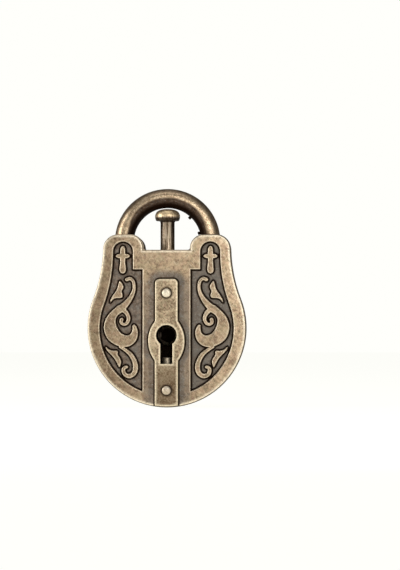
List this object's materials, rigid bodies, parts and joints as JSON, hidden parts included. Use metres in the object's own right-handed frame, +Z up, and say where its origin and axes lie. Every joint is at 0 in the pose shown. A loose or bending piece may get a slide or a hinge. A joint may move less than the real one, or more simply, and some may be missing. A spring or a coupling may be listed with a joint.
{
  "type": "padlock",
  "caption": "Antique-bronze padlock with hinged round shackle, push plunger between two lobes, scroll relief front and riveted keyhole strap.",
  "frame": {"origin": "centre of the shackle's bend, in the middle plane of the shackle's rod", "axes": "+Z up with the shackle on top, -Y is the decorated front with the keyhole, +X to the right of somebody facing the front"},
  "size_m": [0.064, 0.0191, 0.0883],
  "materials": {
    "cast_bronze": "antique bronze plate over cast zinc alloy, dark patina in the recesses, rubbed bright on the edges",
    "strap_bronze": "antique bronze plate, darker patina beside the strap, worn rim",
    "rivet_bronze": "rubbed bright bronze",
    "shackle_bronze": "dark antique bronze plate with long soft highlights",
    "plunger_bronze": "antique bronze plate, brushed along the stem",
    "steel": "plain zinc-plated steel",
    "spring_steel": "drawn spring wire",
    "brass": "stamped brass, satin"
  },
  "bodies": {
    "case": {"rear_case": "cast_bronze", "front_cover": "cast_bronze", "escutcheon": "strap_bronze", "escutcheon_rivets": "rivet_bronze", "cover_screws": "steel", "pivot_pin": "shackle_bronze", "plunger_bush": "brass", "spring_bracket": "steel", "bracket_screws": "steel", "bolt_guide_posts": "steel", "lock_bar_guide_posts": "steel", "leaf_spring": "spring_steel", "leaf_spring_screw": "steel", "key_bush": "brass", "ward_ring": "steel", "ward_post": "cast_bronze", "plunger_spring": "spring_steel"},
    "shackle": {"shackle": "shackle_bronze", "stop_pegs": "shackle_bronze"},
    "plunger": {"plunger": "plunger_bronze", "plunger_clip": "steel", "drive_pin": "steel"},
    "bolt": {"shackle_bolt": "brass", "bolt_nose": "steel"},
    "lock_bar": {"lock_bar": "brass"}
  },
  "joints": [
    {"name": "shackle_swing", "type": "hinge", "parent": "case", "child": "shackle", "pos_m": [-0.0175, 0, -0.0051], "axis": [0, -1, 0], "range_deg": [0, 100]},
    {"name": "plunger_press", "type": "slide", "parent": "case", "child": "plunger", "axis": [0, 0, 1], "range_m": [-0.004, 0], "stiffness_N_per_m": 400, "springref_m": 0.004, "deforming": ["plunger_spring"]},
    {"name": "bolt_throw", "type": "slide", "parent": "case", "child": "bolt", "axis": [1, 0, 0], "range_m": [0, 0.004]},
    {"name": "lock_bar_throw", "type": "slide", "parent": "case", "child": "lock_bar", "axis": [1, 0, 0], "range_m": [0, 0.004]}
  ],
  "couplings": [
    {"joint": "bolt_throw", "follows": "plunger_press", "ratio": -1}
  ]
}
